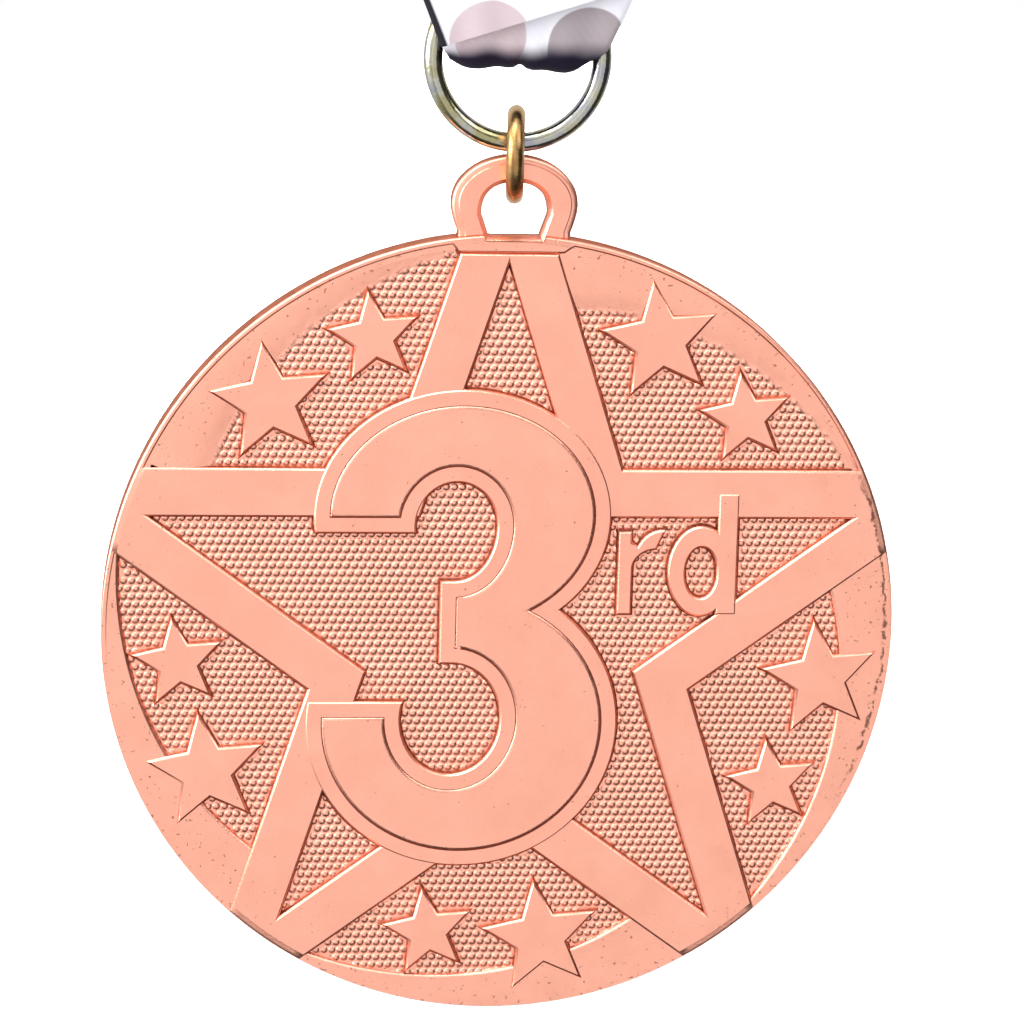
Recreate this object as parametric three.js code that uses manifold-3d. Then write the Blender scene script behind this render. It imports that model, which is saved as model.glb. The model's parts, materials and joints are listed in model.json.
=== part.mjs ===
// Sports finisher medal for third place on a neck ribbon, in millimetres, +Z up.
// It hangs as it is worn: the medal's face looks along -Y, and the ribbon loop stands in the XZ plane.
// The exported group's origin is the inner face of the ribbon at the very top of its loop.
import * as THREE from 'three';
import { mergeVertices } from 'three/addons/utils/BufferGeometryUtils.js';
import Module from 'manifold-3d';

const wasm = await Module();
wasm.setup();

const DEGREE = Math.PI / 180;
const CURVE_STEPS = 24;
const DISC_SIDES = 120;

// Cast medal. Depths are along Y, measured from the middle of the disc towards its face.
const discRadius = 31.75;
const rimBevel = 0.6;
const rimEdgeDepth = 0.7;
const backBevel = 0.35;
const backDepth = -1.5;
const fieldDepth = 1.0;
const borderDepth = 1.3;
const bandDepth = 1.5;
const outlineDepth = 1.55;
const numeralDepth = 1.65;
const letterDepth = 1.58;
const reliefRoot = 0.5;
const aboveFace = 4;

// Five-pointed star band: distances of its straight edges from the disc's centre.
const starInnerReach = 9.11;
const starOuterReach = 13.07;
const starTopCut = 30.2;
const starTopHalf = 8;
const shoulderPlate = [[-4.1, 30.4], [4.3, 30.4], [5.6, 31.2], [4.9, 34], [-4.3, 34], [-4.7, 31.2]];

// Ten small stars, a large and a small one in each gap between the big star's points.
const gapAngle = 72;
const firstGap = 54;
const smallStars = [
  { turn: 8.6, distance: 26.1, radius: 5.03, waist: 2.2 },
  { turn: -11.9, distance: 25.8, radius: 3.9, waist: 1.72 },
];
const smallStarTilt = 8.5;
// The hand-set large stars of three gaps stand a little off the even spacing.
const largeStarNudge = {
  54: { x: 0.1, z: 0.3 },
  126: { x: -0.3, z: -0.2 },
  342: { x: 0.3, z: 0.2 },
};
const evenSpacing = { x: 0, z: 0 };

// The smooth border's inner edge comes closer to the centre as it runs round each gap.
const borderMiddle = 28.7;
const borderSlope = 0.078;
const borderLeastWidth = 0.3;
const borderTurnStep = 6;
const borderOverlap = 0.05;

// Numeral: outer and counter ellipses of its two bowls, and the raised outline around it.
const outline = 1.4;
const upperBowl = { x: -3.2, z: 9.2, a: 10.5, b: 8.9 };
const upperCounter = { x: -3.7, z: 8.4, a: 4.6, b: 4.95, low: 5.8 };
const lowerBowl = { x: -2.95, z: -7.8, a: 11.2, b: 10.5 };
const lowerCounter = { x: -3.9, z: -7.4, a: 5.36, b: 5.95 };
const barLeft = -3.55;
const upperTerminal = 9.2;
const lowerTerminal = -7.3;
const bowlsMeetAt = 70 * DEGREE;

// Ordinal letters: an r with a stem and an arm, and a d with a ring and a stem.
const letterFoot = 1.2;
const stemR = { left: 9.2, right: 10.5, top: 8.1 };
const armR = { x: 12.9, top: 8.25, tip: 13.1, under: 5.4, reach: 2.4, end: 2.6, notch: 0.1 };
const armHeightR = { inner: 1.55, outer: 2.65 };
const ringD = { x: 15.95, z: 4.8, a: 2.7, b: 3.75 };
const counterD = { x: 16.0, z: 4.7, a: 1.25, b: 2.05 };
const stemD = { left: 17.2, right: 18.95, top: 11.2 };

// Suspension eye on top of the disc. It stands a little to the right of the star's axis.
const eyeAside = 0.36;
const eyeRadius = 4.98;
const eyeFoot = 30;
const eyeNeck = 31.9;
const eyeCentre = 33.2;
const eyeShoulder = 34.1;
const eyeTop = 37.9;
const eyeCrownHalf = 2.6;
const eyeCrownDrop = 1.6;
const eyeFootHalf = 4.45;
const eyeHalfDepth = 1.0;
const holeHalfWidth = 2.6;
const holeFootHalf = 2.0;
const holeTop = 35.75;
const holeBottom = 31.6;
const holeCrownHalf = 1.5;
const holeCrownDrop = 0.7;
const holeSideDrop = 2.4;
const holeChamfer = 0.4;

// Rings: height of each centre above the disc's centre. They hang in line with the eye.
const jumpWire = 1.4;
const jumpRadius = 3.18;
const jumpHeight = 37.9;
const jumpSplit = 0.06;
const jumpSplitAt = 12 * DEGREE;
const jumpYaw = -6 * DEGREE;
const jumpSteps = 48;
const ringWire = 1.5;
const ringRadius = 6.62;
const ringHeight = 45.45;
const ringSteps = 72;
const wireSides = 14;

// Neck ribbon: a flat band sewn into a loop over a neck form.
const ribbonThickness = 0.5;
const ribbonHalfWidth = 7.5;
const strandLean = 24 * DEGREE;
const crossingHeight = 49.8;
const leftAside = 1.0;
const rightAside = 0.5;
const formRadius = 87;
const formSteps = 44;
const ribSpacing = 4;
const pocketDepth = 2.35;
const frontDepth = 3.05;
const hemLow = { x: -5.93, z: 46.45 };
const hemHigh = { x: 8.46, z: 51.1 };
const foldHeight = 47.0;
const foldLeft = -5.1;
const foldRight = 5.8;
const closeStart = 53;
const closeHeight = 57;
const closedDepth = 1.75;
const tailTop = 61;

// Where the right strand's edges run in front of the ring, from the crossing down to the fold.
const drawnRibs = [
  { left: { x: -6.4, z: 52.4 }, right: { x: 8.96, z: 50.4 } },
  { left: { x: -6.2, z: 49.6 }, right: { x: 8.06, z: 48.4 } },
];

// Where those edges run on the first half of the turn through the ring, by angle of turn.
const foldEdges = [
  { turn: 0, left: -5.9, right: 7.43 },
  { turn: 20, left: -5.7, right: 7.1 },
  { turn: 40, left: -5.45, right: 6.6 },
  { turn: 56, left: -5.2, right: 6.05 },
];
const foldEvenFrom = 72;
const foldTurnStep = 18;
const tailStep = 2;

// Lock-stitch that closes the loop above the ring.
const threadWire = 0.35;
const stitchHeight = 58.2;
const stitchAside = 0.6;
const needleDepth = 3.6;
const bobbinDepth = 1.2;
const stitchRise = 0.2;
const stitchHalfRow = 4.2;
const stitchCount = 6;

const copper = new THREE.MeshStandardMaterial({ color: '#f2a68f', roughness: 0.35, metalness: 1 });
const brass = new THREE.MeshStandardMaterial({ color: '#b98a3e', roughness: 0.28, metalness: 1 });
const steel = new THREE.MeshStandardMaterial({ color: '#b9bab0', roughness: 0.22, metalness: 1 });
const satin = new THREE.MeshStandardMaterial({ color: '#eeedf6', roughness: 0.45, metalness: 0 });
const cotton = new THREE.MeshStandardMaterial({ color: '#f6f5f8', roughness: 0.8, metalness: 0 });

// ---- solids -------------------------------------------------------------------------------

function toSolid(geometry) {
  const bare = geometry.clone();
  bare.deleteAttribute('normal');
  bare.deleteAttribute('uv');
  const merged = mergeVertices(bare, 1e-5);
  const mesh = new wasm.Mesh({
    numProp: 3,
    vertProperties: new Float32Array(merged.attributes.position.array),
    triVerts: new Uint32Array(merged.index.array),
  });
  return new wasm.Manifold(mesh);
}

function toGeometry(solid) {
  const mesh = solid.getMesh();
  const geometry = new THREE.BufferGeometry();
  geometry.setAttribute('position', new THREE.BufferAttribute(mesh.vertProperties, 3));
  geometry.setIndex(new THREE.BufferAttribute(mesh.triVerts, 1));
  geometry.computeVertexNormals();
  return geometry;
}

// The points of an outline, each place once, so that its extrusion closes on itself.
function distinctPoints(path, steps) {
  const points = path.getPoints(steps);
  return points.filter((point, place) => {
    const next = points[(place + 1) % points.length];
    return point.distanceTo(next) > 1e-4;
  });
}

function distinctShape(shape, steps) {
  const clean = new THREE.Shape(distinctPoints(shape, steps));
  for (const hole of shape.holes) clean.holes.push(new THREE.Path(distinctPoints(hole, steps)));
  return clean;
}

// A plate whose outline is drawn as (x, z), reaching from one depth to another.
function plate(shape, fromDepth, toDepth) {
  const geometry = new THREE.ExtrudeGeometry(distinctShape(shape, CURVE_STEPS), {
    depth: toDepth - fromDepth,
    bevelEnabled: false,
  });
  geometry.translate(0, 0, fromDepth);
  geometry.rotateX(Math.PI / 2);
  return toSolid(geometry);
}

// ---- the casting's outlines ------------------------------------------------------------------

function starShape(x, z, radius, waist, tilt) {
  const shape = new THREE.Shape();
  for (let corner = 0; corner < 10; corner += 1) {
    const angle = (90 + tilt + 36 * corner) * DEGREE;
    const reach = corner % 2 === 0 ? radius : waist;
    const place = [x + reach * Math.cos(angle), z + reach * Math.sin(angle)];
    if (corner === 0) shape.moveTo(...place);
    else shape.lineTo(...place);
  }
  shape.closePath();
  return shape;
}

// A star whose edges all lie at one distance from the centre, as in a pentagram.
function pentagram(reach) {
  const radius = reach / Math.sin(18 * DEGREE);
  const waist = reach / Math.cos(36 * DEGREE);
  return starShape(0, 0, radius, waist, 0);
}

// The smooth border beyond the pebbled panel, over one gap between the big star's points.
function borderShape(gap) {
  const shape = new THREE.Shape();
  const halfSpan = gapAngle / 2;
  const outer = discRadius - rimBevel;
  shape.absarc(0, 0, outer, (gap - halfSpan) * DEGREE, (gap + halfSpan) * DEGREE, false);
  for (let turn = halfSpan; turn >= -halfSpan; turn -= borderTurnStep) {
    const reach = Math.min(borderMiddle - borderSlope * turn, outer - borderLeastWidth);
    const angle = (gap + turn) * DEGREE;
    shape.lineTo(reach * Math.cos(angle), reach * Math.sin(angle));
  }
  shape.closePath();
  return shape;
}

function upperBowlShape(grow) {
  const { x, z, a, b } = upperBowl;
  const counter = upperCounter;
  const end = upperTerminal - grow;
  const outerStart = Math.PI - Math.asin((end - z) / (b + grow));
  const innerEnd = Math.PI - Math.asin((end - counter.z) / (counter.b - grow));
  const shape = new THREE.Shape();
  shape.moveTo(barLeft - grow, 0);
  shape.lineTo(barLeft - grow, counter.z - counter.low + grow);
  shape.absellipse(
    counter.x, counter.z, counter.a - grow, counter.low - grow, -Math.PI / 2, 0, false, 0,
  );
  shape.absellipse(
    counter.x, counter.z, counter.a - grow, counter.b - grow, 0, innerEnd, false, 0,
  );
  shape.absellipse(x, z, a + grow, b + grow, outerStart, -bowlsMeetAt, true, 0);
  shape.closePath();
  return shape;
}

function lowerBowlShape(grow) {
  const { x, z, a, b } = lowerBowl;
  const counter = lowerCounter;
  const end = lowerTerminal + grow;
  const outerEnd = -Math.PI - Math.asin((end - z) / (b + grow));
  const innerStart = Math.PI - Math.asin((end - counter.z) / (counter.b - grow));
  const shape = new THREE.Shape();
  shape.moveTo(barLeft - grow, 1);
  shape.lineTo(0, 1);
  shape.absellipse(x, z, a + grow, b + grow, bowlsMeetAt, outerEnd, true, 0);
  shape.absellipse(
    counter.x, counter.z, counter.a - grow, counter.b - grow, innerStart, 2.5 * Math.PI, false, 0,
  );
  shape.lineTo(barLeft - grow, counter.z + counter.b - grow);
  shape.closePath();
  return shape;
}

function numeral(grow, depth) {
  const upper = plate(upperBowlShape(grow), 0, depth);
  const lower = plate(lowerBowlShape(grow), 0, depth);
  return upper.add(lower);
}

function ordinalLetters() {
  const { x, top, tip, under, reach, end, notch } = armR;
  const { inner, outer } = armHeightR;
  const stem = new THREE.Shape();
  stem.moveTo(stemR.left, letterFoot);
  stem.lineTo(stemR.right, letterFoot);
  stem.lineTo(stemR.right, under);
  stem.absellipse(x, under, reach, inner, Math.PI, Math.PI / 2, true, 0);
  stem.lineTo(tip, top);
  stem.absellipse(x, top - outer, reach, outer, Math.PI / 2, end, false, 0);
  stem.lineTo(stemR.right - notch, stemR.top);
  stem.lineTo(stemR.left, stemR.top);
  stem.closePath();
  const bowl = new THREE.Shape();
  bowl.absellipse(ringD.x, ringD.z, ringD.a, ringD.b, 0, 2 * Math.PI, false, 0);
  const counter = new THREE.Path();
  counter.absellipse(counterD.x, counterD.z, counterD.a, counterD.b, 0, 2 * Math.PI, true, 0);
  bowl.holes.push(counter);
  const ascender = new THREE.Shape();
  ascender.moveTo(stemD.left, letterFoot);
  ascender.lineTo(stemD.right, letterFoot);
  ascender.lineTo(stemD.right, stemD.top);
  ascender.lineTo(stemD.left, stemD.top);
  ascender.closePath();
  return [stem, bowl, ascender];
}

function eyeShape() {
  const shape = new THREE.Shape();
  const sideEnd = eyeTop - eyeCrownDrop;
  shape.moveTo(-eyeFootHalf, eyeFoot);
  shape.lineTo(eyeFootHalf, eyeFoot);
  shape.lineTo(eyeFootHalf, eyeNeck);
  shape.quadraticCurveTo(eyeRadius, eyeCentre, eyeRadius, eyeShoulder);
  shape.bezierCurveTo(eyeRadius, sideEnd, eyeCrownHalf, eyeTop, 0, eyeTop);
  shape.bezierCurveTo(-eyeCrownHalf, eyeTop, -eyeRadius, sideEnd, -eyeRadius, eyeShoulder);
  shape.quadraticCurveTo(-eyeRadius, eyeCentre, -eyeFootHalf, eyeNeck);
  shape.closePath();
  return shape;
}

// The hole's outline, widened all round by an amount.
function holeShape(widen) {
  const top = holeTop + widen;
  const bottom = holeBottom - widen;
  const wide = holeHalfWidth + widen;
  const foot = holeFootHalf + widen;
  const sideStart = holeTop - holeSideDrop;
  const sideEnd = top - holeCrownDrop;
  const shape = new THREE.Shape();
  shape.moveTo(-foot, bottom);
  shape.lineTo(foot, bottom);
  shape.lineTo(wide, sideStart);
  shape.bezierCurveTo(wide, sideEnd, holeCrownHalf, top, 0, top);
  shape.bezierCurveTo(-holeCrownHalf, top, -wide, sideEnd, -wide, sideStart);
  shape.closePath();
  return shape;
}

// The disc is turned about Y, with its bevel at the face and a smaller one at the back.
function discBlank() {
  const profile = [
    new THREE.Vector2(0, backDepth),
    new THREE.Vector2(discRadius - backBevel, backDepth),
    new THREE.Vector2(discRadius, backDepth + backBevel),
    new THREE.Vector2(discRadius, rimEdgeDepth),
    new THREE.Vector2(discRadius - rimBevel, fieldDepth),
    new THREE.Vector2(0, fieldDepth),
  ];
  const geometry = new THREE.LatheGeometry(profile, DISC_SIDES);
  geometry.rotateX(Math.PI);
  return toSolid(geometry);
}

function medalCasting() {
  const discOutline = new THREE.Shape();
  discOutline.absarc(0, 0, discRadius - rimBevel, 0, 2 * Math.PI, false);
  const faceLimit = plate(discOutline, 0, aboveFace);
  const beyondRim = discRadius + 2;
  const cutTop = new THREE.Shape();
  cutTop.moveTo(-starTopHalf, starTopCut);
  cutTop.lineTo(starTopHalf, starTopCut);
  cutTop.lineTo(starTopHalf, beyondRim);
  cutTop.lineTo(-starTopHalf, beyondRim);
  cutTop.closePath();

  let face = plate(pentagram(starOuterReach), reliefRoot, bandDepth)
    .subtract(plate(pentagram(starInnerReach), 0, aboveFace))
    .subtract(plate(cutTop, 0, aboveFace));
  for (let gap = firstGap; gap < 360; gap += gapAngle) {
    let border = plate(borderShape(gap), reliefRoot, borderDepth);
    border = border.subtract(plate(pentagram(starOuterReach - borderOverlap), 0, aboveFace));
    face = face.add(border);
    for (const star of smallStars) {
      const angle = (gap + star.turn) * DEGREE;
      const isLarge = star === smallStars[0];
      const nudge = (isLarge && largeStarNudge[gap]) || evenSpacing;
      const x = star.distance * Math.cos(angle) + nudge.x;
      const z = star.distance * Math.sin(angle) + nudge.z;
      const shape = starShape(x, z, star.radius, star.waist, smallStarTilt);
      face = face.add(plate(shape, reliefRoot, bandDepth));
    }
  }
  const shoulder = new THREE.Shape(shoulderPlate.map(([x, z]) => new THREE.Vector2(x, z)));
  face = face.add(plate(shoulder, reliefRoot, bandDepth));
  face = face.intersect(faceLimit);
  face = face.add(numeral(outline, outlineDepth));
  face = face.add(numeral(0, numeralDepth));
  for (const letter of ordinalLetters()) face = face.add(plate(letter, reliefRoot, letterDepth));

  let casting = discBlank().add(face);
  casting = casting.add(plate(eyeShape(), -eyeHalfDepth, eyeHalfDepth).translate(eyeAside, 0, 0));
  const hole = plate(holeShape(0), -aboveFace, aboveFace)
    .add(plate(holeShape(holeChamfer), eyeHalfDepth - holeChamfer, aboveFace))
    .add(plate(holeShape(holeChamfer), -aboveFace, holeChamfer - eyeHalfDepth));
  return toGeometry(casting.subtract(hole.translate(eyeAside, 0, 0)));
}

function roundSection(radius, halfSides) {
  const section = new THREE.Shape();
  section.absarc(0, 0, radius, 0, 2 * Math.PI, false);
  return distinctShape(section, halfSides);
}

// ---- rings ----------------------------------------------------------------------------------

class RingCurve extends THREE.Curve {
  constructor(radius, start, turn) {
    super();
    this.radius = radius;
    this.start = start;
    this.turn = turn;
  }

  getPoint(t) {
    const angle = this.start + this.turn * t;
    return new THREE.Vector3(
      0, this.radius * Math.cos(angle), this.radius * Math.sin(angle),
    );
  }
}

// A round wire bent into a ring in the YZ plane; its two ends almost meet.
function jumpRing() {
  const gap = jumpSplit / jumpRadius;
  const curve = new RingCurve(jumpRadius, jumpSplitAt + gap / 2, 2 * Math.PI - gap);
  const geometry = new THREE.ExtrudeGeometry(roundSection(jumpWire / 2, wireSides / 2), {
    steps: jumpSteps,
    bevelEnabled: false,
    extrudePath: curve,
  });
  return toGeometry(toSolid(geometry));
}

// A round welded ring in the XZ plane.
function ribbonRing() {
  const geometry = new THREE.TorusGeometry(ringRadius, ringWire / 2, wireSides, ringSteps);
  geometry.rotateX(Math.PI / 2);
  return toGeometry(toSolid(geometry));
}

// ---- ribbon ---------------------------------------------------------------------------------

const smooth = (t) => t * t * (3 - 2 * t);
const clamp01 = (t) => Math.min(1, Math.max(0, t));
const mix = (from, to, t) => from + (to - from) * t;

const forward = new THREE.Vector3(0, -1, 0);

// One rib of the band: its middle, its half width as a vector, and its face direction.
function rib(centre, half, face) {
  return { centre, half, face: face.clone().normalize() };
}

// A rib facing the viewer between two edge points, given from its "low" side to its "high" side.
function flatRib(low, high, depth) {
  const from = new THREE.Vector3(low.x, -depth, low.z);
  const to = new THREE.Vector3(high.x, -depth, high.z);
  const middle = from.clone().add(to).multiplyScalar(0.5);
  return rib(middle, to.sub(from).multiplyScalar(0.5), forward);
}

const loopCentre = crossingHeight + formRadius / Math.sin(strandLean);
const strandLength = formRadius / Math.tan(strandLean);
const twistStart = 26;
const twistEnd = strandLength - 6;
const settleStart = 8;
const settleLength = 60;

// A straight strand from the crossing up to the loop; side is -1 on the left, 1 on the right.
function strandRib(side, along, depthAtFoot) {
  const direction = new THREE.Vector3(side * Math.sin(strandLean), 0, Math.cos(strandLean));
  const centre = direction.clone().multiplyScalar(along);
  centre.x += (side < 0 ? leftAside : rightAside) * (1 - along / strandLength);
  centre.z += crossingHeight;
  centre.y = -depthAtFoot * (1 - smooth(clamp01((along - settleStart) / settleLength)));
  const twist = (Math.PI / 2) * smooth(clamp01((along - twistStart) / (twistEnd - twistStart)));
  const across = new THREE.Vector3(Math.cos(strandLean), 0, -side * Math.sin(strandLean));
  const half = across.clone().multiplyScalar(-side * Math.cos(twist));
  half.addScaledVector(forward, -Math.sin(twist));
  const face = forward.clone().multiplyScalar(Math.cos(twist));
  face.addScaledVector(across, -side * Math.sin(twist));
  return rib(centre, half.multiplyScalar(ribbonHalfWidth), face);
}

// The band over the neck form: its width lies along Y and its face looks at the form.
function loopRib(angle) {
  const inward = new THREE.Vector3(-Math.cos(angle), 0, -Math.sin(angle));
  const centre = inward.clone().multiplyScalar(-formRadius);
  centre.z += loopCentre;
  return rib(centre, new THREE.Vector3(0, ribbonHalfWidth, 0), inward);
}

// A rib on the half turn through the ring.
function foldRib(turn, left, right) {
  const angle = turn * DEGREE;
  const centre = new THREE.Vector3(
    (left + right) / 2, -pocketDepth * Math.cos(angle), foldHeight - pocketDepth * Math.sin(angle),
  );
  const half = new THREE.Vector3((left - right) / 2, 0, 0);
  return rib(centre, half, new THREE.Vector3(0, -Math.cos(angle), -Math.sin(angle)));
}

// All ribs from the front strand's cut end, over the loop and down, round the ring and up behind it.
function ribbonRibs() {
  const ribs = [flatRib(hemLow, hemHigh, frontDepth)];
  for (let along = ribSpacing; along < strandLength; along += ribSpacing) {
    ribs.push(strandRib(-1, along, frontDepth));
  }
  const arcStart = Math.PI + strandLean;
  const arcSpan = Math.PI + 2 * strandLean;
  for (let step = 0; step <= formSteps; step += 1) {
    ribs.push(loopRib(arcStart - (arcSpan * step) / formSteps));
  }
  const lastAlong = 2 * ribSpacing - 1;
  for (let along = strandLength - ribSpacing; along > lastAlong; along -= ribSpacing) {
    ribs.push(strandRib(1, along, pocketDepth));
  }
  for (const { left, right } of drawnRibs) ribs.push(flatRib(right, left, pocketDepth));
  for (const { turn, left, right } of foldEdges) ribs.push(foldRib(turn, left, right));
  for (let turn = foldEvenFrom; turn <= 180; turn += foldTurnStep) {
    ribs.push(foldRib(turn, foldLeft, foldRight));
  }
  // The tail climbs behind the ring and closes up to the front layers above it.
  const tailMiddle = (foldLeft + foldRight) / 2;
  const tailHalf = new THREE.Vector3((foldLeft - foldRight) / 2, 0, 0);
  for (let height = foldHeight + tailStep; height <= tailTop; height += tailStep) {
    const closing = smooth(clamp01((height - closeStart) / (closeHeight - closeStart)));
    const centre = new THREE.Vector3(tailMiddle, mix(pocketDepth, -closedDepth, closing), height);
    ribs.push(rib(centre, tailHalf, new THREE.Vector3(0, 1, 0)));
  }
  return ribs;
}

function bandSolid(ribs, thickness) {
  const positions = [];
  for (const { centre, half, face } of ribs) {
    const lift = face.clone().multiplyScalar(thickness / 2);
    const low = centre.clone().sub(half);
    const high = centre.clone().add(half);
    for (const corner of [
      low.clone().sub(lift), high.clone().sub(lift), high.clone().add(lift), low.clone().add(lift),
    ]) positions.push(corner.x, corner.y, corner.z);
  }
  const indices = [];
  const last = 4 * (ribs.length - 1);
  for (let base = 0; base < last; base += 4) {
    for (let side = 0; side < 4; side += 1) {
      const a = base + side;
      const b = base + ((side + 1) % 4);
      indices.push(a, b + 4, b, a, a + 4, b + 4);
    }
  }
  indices.push(0, 1, 2, 0, 2, 3);
  indices.push(last, last + 2, last + 1, last, last + 3, last + 2);
  const geometry = new THREE.BufferGeometry();
  geometry.setAttribute('position', new THREE.Float32BufferAttribute(positions, 3));
  geometry.setIndex(indices);
  geometry.computeVertexNormals();
  return geometry;
}

function neckRibbon() {
  return bandSolid(ribbonRibs(), ribbonThickness);
}

// ---- thread ---------------------------------------------------------------------------------

class StitchCurve extends THREE.Curve {
  constructor(rise) {
    super();
    this.rise = rise;
  }

  getPoint(t) {
    const wave = Math.abs(Math.sin(Math.PI * stitchCount * t));
    return new THREE.Vector3(stitchHalfRow * (2 * t - 1), this.rise * wave, 0);
  }
}

function stitchRow(rise) {
  const geometry = new THREE.ExtrudeGeometry(roundSection(threadWire / 2, 4), {
    steps: 8 * stitchCount,
    bevelEnabled: false,
    extrudePath: new StitchCurve(rise),
  });
  return toGeometry(toSolid(geometry));
}

// ---- assembly -------------------------------------------------------------------------------

function named(name, geometry, material) {
  const mesh = new THREE.Mesh(geometry, material);
  mesh.name = name;
  return mesh;
}

const medal = new THREE.Group();
const loopTop = loopCentre + formRadius - ribbonThickness / 2;
medal.position.z = -loopTop;

medal.add(named('medal_casting', medalCasting(), copper));
const smallRing = named('jump_ring', jumpRing(), brass);
smallRing.position.set(eyeAside, 0, jumpHeight);
smallRing.rotation.z = jumpYaw;
medal.add(smallRing);
const largeRing = named('ribbon_ring', ribbonRing(), steel);
largeRing.position.set(eyeAside, 0, ringHeight);
medal.add(largeRing);
medal.add(named('neck_ribbon', neckRibbon(), satin));
const needleThread = named('needle_thread', stitchRow(-stitchRise), cotton);
needleThread.position.set(stitchAside, -needleDepth, stitchHeight);
medal.add(needleThread);
const bobbinThread = named('bobbin_thread', stitchRow(stitchRise), cotton);
bobbinThread.position.set(stitchAside, -bobbinDepth, stitchHeight);
medal.add(bobbinThread);

export default medal;
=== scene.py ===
"""Sports finisher medal for third place, hanging from its neck ribbon.

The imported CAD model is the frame. Every dimension below is in millimetres, measured from the
middle of the medal's disc: x to the right, z up, and depth towards the viewer, which is -Y.
"""
import json
import math

import bmesh
import bpy
import numpy as np
from mathutils import Matrix, Vector
from mathutils.geometry import tessellate_polygon


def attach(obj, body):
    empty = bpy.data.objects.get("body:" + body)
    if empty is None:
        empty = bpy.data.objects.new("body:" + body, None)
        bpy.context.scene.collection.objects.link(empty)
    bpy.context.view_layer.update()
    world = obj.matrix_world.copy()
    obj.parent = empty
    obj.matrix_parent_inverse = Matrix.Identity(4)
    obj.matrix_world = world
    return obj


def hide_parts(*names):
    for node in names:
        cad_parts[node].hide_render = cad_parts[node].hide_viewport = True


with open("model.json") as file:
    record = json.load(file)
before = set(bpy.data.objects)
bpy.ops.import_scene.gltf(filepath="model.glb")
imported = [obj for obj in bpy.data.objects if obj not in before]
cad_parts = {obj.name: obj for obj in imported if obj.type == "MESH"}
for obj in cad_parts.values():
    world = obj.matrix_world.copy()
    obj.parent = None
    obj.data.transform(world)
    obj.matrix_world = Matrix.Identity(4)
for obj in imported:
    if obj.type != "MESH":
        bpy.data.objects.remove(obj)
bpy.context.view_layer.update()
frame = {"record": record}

MM = 0.001


def mount_place(name):
    """A mount's point in the row frame, in metres."""
    for mount in frame["record"]["mounts"]:
        if mount["name"] == name:
            return Vector(mount["pos_m"])
    raise ValueError(name)


# The disc's middle in the row frame, in millimetres.
DISC_HEIGHT = mount_place("flat_back").z / MM

# ---- the casting's dimensions ----------------------------------------------------------------

DISC_RADIUS = 31.75
RIM_ROUND = 0.28
RIM_ROUND_FOOT = 1.15
BACK_CHAMFER = 0.35
BACK_DEPTH = -1.5
FIELD_DEPTH = 1.0
BORDER_DEPTH = 1.32
BAND_DEPTH = 1.5
OUTLINE_DEPTH = 1.58
NUMERAL_DEPTH = 1.65
FACE_LIMIT = 1.72
GROOVE_DEPTH = 1.47
GROOVE_WIDTH = 0.1
GROOVE_CUT_TOP = 4
LETTER_DEPTH = 1.58
ROOT_DEPTH = 0.4
BEYOND = 2

STAR_INNER_REACH = 9.11
STAR_OUTER_REACH = 13.07
STAR_TOP_CUT = 30.3
GAP_ANGLES = (54, 126, 198, 270, 342)
SMALL_STARS = (
    {"turn": 8.6, "distance": 26.1, "radius": 5.03, "waist": 2.2},
    {"turn": -11.9, "distance": 25.8, "radius": 3.9, "waist": 1.72},
)
SMALL_STAR_TILT = 8.5
LARGE_STAR_NUDGE = {54: (0.1, 0.3), 126: (-0.3, -0.2), 342: (0.3, 0.2)}
BORDER_MIDDLE = 28.7
BORDER_SLOPE = 0.078
BORDER_HALF_SPAN = 32
BORDER_LIMIT = 31.15
SLOPED_GAPS = (54, 126)
SHOULDER_PLATE = [
    (-4.1, 30.3), (4.3, 30.3), (5.6, 31.2), (4.9, 34), (-4.3, 34), (-4.7, 31.2),
]
LIP_RADIUS = 31.25
LIP_HEIGHT = 0.11
LIP_SLOPE = 0.13
LIP_STEPS = 180

PEBBLE_PITCH = 0.652
PEBBLE_ROW = 0.64
PEBBLE_RADIUS = 0.30
PEBBLE_HEIGHT = 0.115
PEBBLE_RIM_GAP = 1.2
PEBBLE_SIDES = 8
# Each ring of a pebble: its spread over the radius, and its rise over the height.
PEBBLE_RINGS = ((1.1, -0.12), (0.84, 0.4), (0.48, 0.82))

OUTLINE_WIDTH = 1.4
UPPER_BOWL = (-3.2, 9.2, 10.5, 8.9)
LOWER_BOWL = (-2.95, -7.8, 11.2, 10.5)
UPPER_COUNTER = (-3.7, 8.4, 4.6, 4.95)
UPPER_COUNTER_LOW = 5.8
LOWER_COUNTER = (-3.9, -7.4, 5.36, 5.95)
BAR_LEFT = -3.55
UPPER_TERMINAL = 9.2
LOWER_TERMINAL = -7.3
BOWLS_MEET_AT = 70

EYE_ASIDE = 0.36
EYE_RADIUS = 4.98
EYE_FOOT = 30
EYE_NECK = 31.9
EYE_CENTRE = 33.2
EYE_SHOULDER = 34.1
EYE_TOP = 37.9
EYE_CROWN_HALF = 2.6
EYE_CROWN_DROP = 1.6
EYE_FOOT_HALF = 4.45
EYE_HALF_DEPTH = 1.0
HOLE_TOP = 35.75
HOLE_BOTTOM = 31.6
HOLE_HALF_WIDTH = 2.6
HOLE_FOOT_HALF = 2.0
HOLE_CROWN_HALF = 1.5
HOLE_CROWN_DROP = 0.7
HOLE_SIDE_DROP = 2.4
HOLE_CHAMFER = 0.4

# ---- plane outlines ----------------------------------------------------------------------------


def ellipse_arc(x, z, a, b, start, end, steps):
    """Points on an ellipse from one angle to another, in degrees."""
    angles = np.radians(np.linspace(start, end, steps + 1))
    return [(x + a * math.cos(t), z + b * math.sin(t)) for t in angles]


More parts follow.
